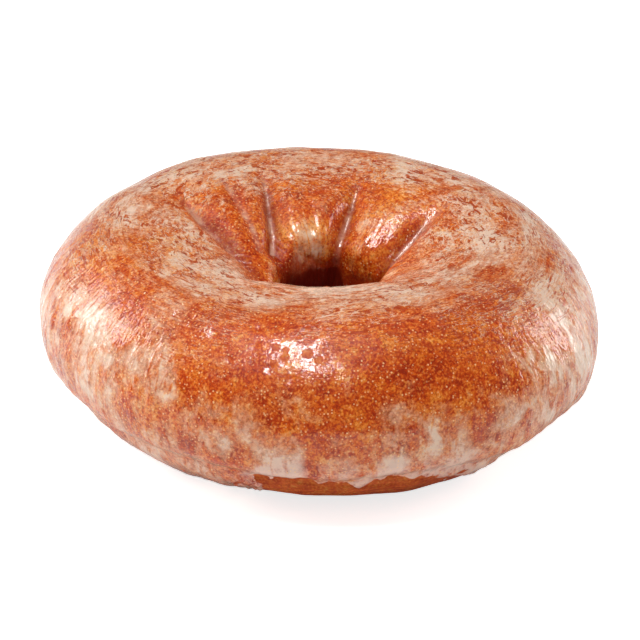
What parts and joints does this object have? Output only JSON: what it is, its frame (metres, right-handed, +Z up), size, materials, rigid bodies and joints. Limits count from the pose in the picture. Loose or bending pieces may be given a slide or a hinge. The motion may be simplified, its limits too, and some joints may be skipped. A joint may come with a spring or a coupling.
{
  "type": "glazed ring doughnut",
  "caption": "Glazed ring doughnut of fried dough, with an off-centre funnel hole that is pleated on its inner side, and a flat underside to rest on.",
  "frame": {"origin": "middle of the underside, at the centre of the ring's bounding box, on the surface it rests on", "axes": "+Z up through the hole; the side seen from the front faces -Y"},
  "size_m": [0.0956, 0.0954, 0.0326],
  "materials": {
    "glazed_crust": "orange-brown fried crust under a thin milky sugar glaze, glossy"
  },
  "bodies": {
    "root": {"doughnut": "glazed_crust"}
  },
  "joints": []
}
